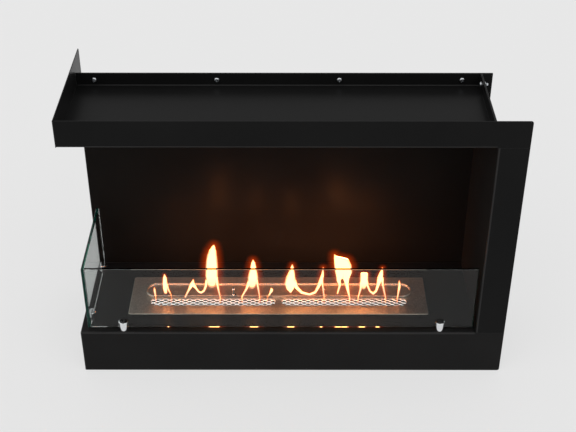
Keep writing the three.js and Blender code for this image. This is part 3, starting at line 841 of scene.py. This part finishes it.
def pressed_tray(length, width, height):
    """The lid at the origin: underside, outer wall, rounded lip, inner wall with painted shade, and floor.
    """
    tray = bmesh.new()
    lip = lid_sheet / 2
    rings = [(length - 2 * lid_ease, width - 2 * lid_ease, 0.0), (length, width, lid_ease)]
    for step in range(5):
        angle = pi * step / 4
        inset = lip * (1 - cos(angle))
        rings.append((length - 2 * inset, width - 2 * inset, height - lip + lip * sin(angle)))
    inner = lid_sheet
    rings.append((length - 2 * inner, width - 2 * inner, lid_sheet + 2 * lid_ease))
    inner += 2 * lid_ease
    rings.append((length - 2 * inner, width - 2 * inner, lid_sheet))
    loops = [stadium_ring(tray, *ring) for ring in rings]
    for first, second in zip(loops, loops[1:]):
        bmesh.ops.bridge_loops(tray, edges=first + second)
    bmesh.ops.edgenet_fill(tray, edges=loops[0])
    bmesh.ops.edgenet_fill(tray, edges=loops[-1])
    bmesh.ops.recalc_face_normals(tray, faces=tray.faces)
    for face in tray.faces:
        face.smooth = len(face.verts) == 4
        across = face.calc_center_median().to_2d()
        across.x -= max(-(length - width) / 2, min((length - width) / 2, across.x))
        # The inner faces of the rim take the darker steel: painted shade inside the lip.
        if abs(face.normal.z) < 0.3 and face.normal.to_2d().dot(across) < 0:
            face.material_index = 1
    return tray


def riveted_pin(reach):
    """A pin on +Z: a rivet through the lid's floor, a domed collar, a slim neck and a ball."""
    base = lid_sheet - 0.2 * MM
    profile = [(0.0, 0.0), (1.9 * MM, 0.0), (1.9 * MM, base), (4.2 * MM, base + 0.2 * MM)]
    profile += [(4.5 * MM, base + 0.5 * MM), (4.4 * MM, base + 1.0 * MM)]
    profile += [(3.0 * MM, base + 1.5 * MM), (2.1 * MM, base + 2.2 * MM)]
    profile += [(pin_neck, base + 4.0 * MM), (pin_neck, reach - 2 * pin_ball)]
    for step in range(1, 8):
        angle = pi * step / 8
        profile.append((max(pin_ball * sin(angle), pin_neck), reach - pin_ball * (1 + cos(angle))))
    pin = turned(profile + [(0.0, reach)], pin_steps)
    crease(pin, 50.0)
    return pin


low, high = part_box("snuffer_lid")
lid_middle = (low + high) / 2
tray = pressed_tray(high.x - low.x, high.y - low.y, high.z - low.z)
bmesh.ops.translate(tray, vec=(lid_middle.x, lid_middle.y, low.z), verts=tray.verts)
lid = add_piece("pressed_snuffer_lid", tray, brushed_steel, "lid", "brushed_stainless", "snuffer_lid")
lid.data.materials.append(make_brushed_steel("stainless_with_painted_shade", painted_shade_dark, painted_shade_light, *steel_polish))

for side in ("left", "right"):
    node = f"lid_knob_{side}"
    low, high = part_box(node)
    pin = riveted_pin(high.z - low.z)
    bmesh.ops.translate(pin, vec=((low.x + high.x) / 2, (low.y + high.y) / 2, low.z), verts=pin.verts)
    add_piece(f"riveted_{node}", pin, chrome, "lid", "chrome", node)


# ---- Flames --------------------------------------------------------------------------------------
# Bioethanol burns as thin yellow sheets above the slots, open and clear near the metal and thick at
# the tips. The lid smothers them as it closes.

# Lengths are in mm here, as in the strokes below, and only the lead is in metres. A low flame has a
# smaller halo than a tall one, and a stroke that ends low is carried down to the root. The halo is a
# painted glow in a faint film round the flame.
flame_depth = 9.0
flame_film = 0.12
flame_soft = 0.7
flame_halo = 16.0
flame_cell = 0.8
flame_root = -2.0
halo_from = 45.0
halo_rise = 60.0
halo_least = 0.2
halo_veil = 0.13
rooted_below = 20.0
flame_lead = 4.1 * MM
plate_low, plate_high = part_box("burner_plate")
slot_low, slot_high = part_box("left_slot_mesh")
slot_middle = (slot_low.y + slot_high.y) / 2
flame_origin = Vector(((plate_low.x + plate_high.x) / 2, slot_middle - flame_lead, plate_high.z))
fire_strength = 42.0
front_fire = {
    0.0: (0.034, 0.0026, 0.0, 1.0),
    0.25: (0.0167, 0.006, 0.0014, 1.0),
    0.5: (0.0226, 0.0143, 0.0086, 1.0),
    0.75: (0.0262, 0.0195, 0.0131, 1.0),
    1.0: (0.150, 0.068, 0.018, 1.0),
}
rear_fire = {
    0.0: (0.034, 0.0026, 0.0, 1.0),
    0.4: (0.10, 0.02, 0.004, 1.0),
    1.0: (1.0, 0.31, 0.09, 1.0),
}

# Each flame is a few strokes. A stroke runs through points of the distance from the burner's
# middle, the height over the plate, the half width, all in mm, and the glow from 0 to 1.
flames = {
    "spark_left": [
        [(-228.0, 35.8, 0.6, 1.0), (-227.9, 30, 1.8, 0.9), (-227.6, 24, 1.7, 0.7), (-227.0, 14, 1.0, 0.4)],
    ],
    "candle_left": [
        [(-207.6, 65.8, 0.8, 1.0), (-207.5, 57, 3.3, 1.0), (-207.8, 45, 4.2, 1.0), (-208.1, 34, 4.0, 0.6),
         (-208.0, 24, 3.0, 0.2)],
        [(-205.0, 42, 2.2, 0.9), (-202.0, 30, 1.4, 0.5), (-198.0, 19, 0.9, 0.3)],
    ],
    "arch_left": [
        [(-172.3, 14, 1.4, 0.6), (-165.7, 29, 1.6, 0.9), (-160.0, 41, 3.2, 1.0), (-157.0, 47, 3.0, 1.0),
         (-155.5, 54.6, 0.7, 1.0)],
        [(-157.0, 44, 3.4, 1.0), (-151.6, 35, 1.8, 0.9), (-147.5, 27, 1.6, 0.8), (-142.9, 23.7, 1.6, 0.8),
         (-137.5, 28, 1.7, 0.9), (-134.0, 37, 2.0, 1.0), (-131.0, 52, 2.6, 1.0)],
    ],
    "tall_flame": [
        [(-115.0, 131, 0.6, 1.0), (-116.4, 125, 3.4, 1.0), (-118.2, 116, 6.6, 1.0), (-119.6, 105, 8.8, 1.0),
         (-120.3, 94, 10.0, 1.0), (-120.9, 79, 10.8, 1.0), (-121.7, 64, 11.0, 1.0), (-122.3, 52, 9.5, 0.55),
         (-122.3, 44, 8.0, 0.2)],
        [(-113.6, 60, 3.0, 1.0), (-112.2, 47, 2.3, 1.0), (-110.7, 33, 1.6, 0.9), (-107.8, 14, 1.1, 0.6)],
    ],
    "cone_flame": [
        [(-45.7, 98, 0.6, 1.0), (-45.5, 90, 3.6, 1.0), (-45.6, 80, 5.4, 1.0), (-46.0, 70, 7.4, 1.0),
         (-46.4, 60, 9.2, 1.0), (-47.6, 50, 8.2, 0.6), (-48.5, 40, 6.5, 0.2)],
        [(-53.5, 50, 3.0, 1.0), (-58.8, 33.3, 2.0, 0.8), (-67.5, 15, 1.3, 0.5)],
        [(-39.6, 54, 2.2, 1.0), (-37.8, 38.4, 1.6, 0.9), (-34.8, 15, 1.1, 0.6)],
    ],
    "spark_middle": [
        [(-13.7, 35, 0.7, 0.8), (-12.8, 30, 3.0, 0.7), (-15.7, 22, 1.6, 0.5), (-20.0, 15, 0.8, 0.3)],
    ],
    "leaf_flame": [
        [(25.3, 87.3, 0.6, 1.0), (25.0, 78, 3.4, 1.0), (23.8, 67, 6.2, 1.0), (22.3, 57, 8.6, 1.0),
         (21.5, 46, 10.0, 1.0), (21.5, 37, 7.6, 0.9), (22.3, 26, 1.8, 0.6)],
        [(28.0, 50, 5.0, 1.0), (33.5, 36, 2.8, 1.0), (42.9, 24.5, 2.2, 0.9), (57.3, 19.8, 1.8, 0.8),
         (67.6, 25, 1.9, 0.9), (73.5, 39, 2.6, 1.0), (78.0, 53, 3.4, 1.0), (80.3, 65, 2.6, 1.0),
         (81.4, 81, 0.6, 1.0)],
        [(79.3, 54, 2.4, 1.0), (81.2, 40, 1.6, 0.9), (84.3, 14, 1.0, 0.6)],
    ],
    "broad_flame": [
        [(101.3, 110, 0.8, 1.0), (103.4, 102, 3.0, 1.0), (108.0, 90, 7.0, 1.0), (111.5, 76, 9.0, 1.0),
         (111.5, 64, 6.6, 1.0), (110.0, 54, 3.8, 1.0), (112.5, 43, 2.4, 0.8), (108.7, 22, 1.3, 0.4)],
        [(104.0, 104, 3.0, 1.0), (113.0, 98, 6.0, 1.0), (121.5, 95, 6.4, 1.0), (124.0, 84, 8.4, 1.0),
         (124.8, 73, 9.0, 1.0), (123.5, 60, 6.4, 1.0), (125.0, 46, 3.4, 1.0), (127.2, 33, 2.6, 1.0),
         (131.5, 12, 1.4, 0.6)],
        [(115.0, 90, 8.0, 1.0), (117.0, 74, 8.0, 1.0), (117.3, 62, 5.0, 0.6)],
    ],
    "square_flame": [
        [(152.3, 67.5, 2.8, 1.0), (160.3, 67.5, 2.8, 1.0)],
        [(156.3, 63, 7.0, 1.0), (156.3, 52, 7.0, 1.0), (156.5, 43, 5.6, 0.5), (156.5, 36, 4.0, 0.15)],
        [(151.3, 48, 2.4, 1.0), (150.8, 33, 1.8, 0.8), (147.2, 14, 1.2, 0.5)],
        [(161.2, 52, 2.6, 1.0), (163.4, 41, 2.0, 0.9), (168.2, 28, 1.7, 0.8), (174.6, 22, 1.7, 0.8),
         (179.5, 28.5, 1.9, 0.9), (182.3, 42, 2.6, 1.0), (185.0, 57, 4.6, 1.0), (187.0, 67, 3.8, 1.0),
         (189.0, 80.5, 0.6, 1.0)],
        [(189.3, 58, 2.6, 1.0), (191.3, 42, 1.7, 0.9), (197.9, 12, 1.0, 0.6)],
    ],
    "spark_right": [
        [(220.7, 52, 0.6, 1.0), (221.8, 44, 2.0, 1.0), (221.8, 37, 2.2, 0.9), (220.9, 28, 1.7, 0.7),
         (219.6, 12, 1.0, 0.5)],
    ],
}


def unit(value):
    """The value, kept between 0 and 1."""
    return min(1.0, max(0.0, value))


def rooted(stroke):
    """The stroke, carried down to the slot as a clear trace where it ends low."""
    across, height, half_width, glow = stroke[-1]
    if height < rooted_below:
        return stroke + [(across, flame_root, 0.8 * half_width, 0.0)]
    return stroke


def stroke_at(across, height, stroke):
    """How far inside a stroke's edge a point lies, the half width and the glow there."""
    best = (-1e9, 1.0, 0.0)
    for (x0, z0, w0, g0), (x1, z1, w1, g1) in zip(stroke, stroke[1:]):
        run_x, run_z = x1 - x0, z1 - z0
        share = unit(((across - x0) * run_x + (height - z0) * run_z) / (run_x ** 2 + run_z ** 2))
        half_width = w0 + (w1 - w0) * share
        away = hypot(across - x0 - run_x * share, height - z0 - run_z * share)
        if half_width - away > best[0]:
            best = (half_width - away, half_width, g0 + (g1 - g0) * share)
    return best


def swelling(inside, half_width):
    """Half the thickness of a flame that far inside its edge."""
    return min(flame_depth / 2, 0.7 * half_width) * sqrt(1.0 - (1.0 - unit(inside / half_width)) ** 2)


def heat(inside, half_width, glow):
    """How near a stroke is to its brightest colour that far inside its edge, from 0 to 1."""
    core = unit(0.3 + inside / (0.9 + 0.35 * half_width))
    return (0.6 + 0.4 * glow) * unit(0.7 + 0.1 * half_width) * core


def flame_sheet(strokes):
    """A closed lens of flame, thick where a stroke is wide, in a thin film that carries a painted glow."""
    strokes = [rooted(stroke) for stroke in strokes]
    points = [point for stroke in strokes for point in stroke]
    crown = max(z + w for x, z, w, g in points)
    halo = flame_halo * min(1.0, max(halo_least, (crown - halo_from) / halo_rise))
    left = min(x - w for x, z, w, g in points) - halo - flame_cell
    right = max(x + w for x, z, w, g in points) + halo + flame_cell
    top = crown + halo + flame_cell
    columns, rows = round((right - left) / flame_cell), round((top - flame_root) / flame_cell)
    sheet = bmesh.new()
    for label in ("warmth", "veil", "rear"):
        sheet.verts.layers.float.new(label)
    warmth, veil, rear = (sheet.verts.layers.float[label] for label in ("warmth", "veil", "rear"))
    bmesh.ops.create_grid(sheet, x_segments=columns, y_segments=rows, size=0.5)
    outside = []
    for vert in sheet.verts:
        across = left + (vert.co.x + 0.5) * (right - left)
        height = flame_root + (vert.co.y + 0.5) * (top - flame_root)
        found = [stroke_at(across, height, stroke) for stroke in strokes]
        reach = max(inside for inside, half_width, glow in found)
        vert[warmth] = max(heat(*place) for place in found)
        solid_flame = max(unit(0.5 + inside / flame_soft) * unit(1.5 * glow) for inside, _, glow in found)
        # The film round the flame gets a faint painted glow, the halo.
        painted_halo_glow = max(unit(1.0 + min(0.0, inside) / halo) ** 2 * glow for inside, _, glow in found)
        vert[veil] = max(solid_flame, halo_veil * painted_halo_glow)
        half_depth = max(swelling(inside, half_width) for inside, half_width, _ in found)
        half_depth += flame_film * unit(1.0 + reach / halo)
        if reach <= -halo:
            outside.append(vert)
            half_depth = 0.0
        vert.co = Vector((across * MM, half_depth * MM, height * MM))
    bmesh.ops.delete(sheet, geom=outside, context="VERTS")
    for vert in {vert for edge in sheet.edges if edge.is_boundary for vert in edge.verts}:
        vert.co.y = 0.0
    bmesh.ops.mirror(sheet, geom=sheet.verts[:] + sheet.edges[:] + sheet.faces[:], axis="Y", merge_dist=1e-6)
    bmesh.ops.recalc_face_normals(sheet, faces=sheet.faces)
    for vert in sheet.verts:
        vert[rear] = 1.0 if vert.co.y > 0.4 * flame_film * MM else 0.0
        vert.co += flame_origin
    for face in sheet.faces:
        face.smooth = True
    return sheet


def fire_ramp(tree, source, colours):
    """A colour ramp over the given positions, driven by a value."""
    ramp = tree.nodes.new("ShaderNodeValToRGB")
    stops = ramp.color_ramp.elements
    stops[0].position, stops[1].position = 0.0, 1.0
    stops[0].color, stops[1].color = colours[0.0], colours[1.0]
    for position in sorted(colours)[1:-1]:
        stops.new(position).color = colours[position]
    tree.links.new(source, ramp.inputs["Fac"])
    return ramp.outputs["Color"]


def make_fire():
    """Red at the edges and pale yellow inside, and a strong orange towards the back panel."""
    material = plain_material("bioethanol_fire", {
        "Base Color": (0.0, 0.0, 0.0, 1.0),
        "Roughness": 1.0,
        "Specular IOR Level": 0.0,
        "Emission Strength": fire_strength,
    })
    tree = material.node_tree
    shader = tree.nodes["Principled BSDF"]
    given = {}
    for label in ("warmth", "veil", "rear"):
        attribute = tree.nodes.new("ShaderNodeAttribute")
        attribute.attribute_name = label
        given[label] = attribute.outputs["Fac"]
    mix = tree.nodes.new("ShaderNodeMixRGB")
    tree.links.new(given["rear"], mix.inputs["Fac"])
    tree.links.new(fire_ramp(tree, given["warmth"], front_fire), mix.inputs["Color1"])
    tree.links.new(fire_ramp(tree, given["warmth"], rear_fire), mix.inputs["Color2"])
    tree.links.new(mix.outputs["Color"], shader.inputs["Emission Color"])
    tree.links.new(given["veil"], shader.inputs["Alpha"])
    return material


fire = make_fire()
for name, strokes in flames.items():
    flame = add_piece(name, flame_sheet(strokes), fire, "burner", "clear_glass")
    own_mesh(flame)
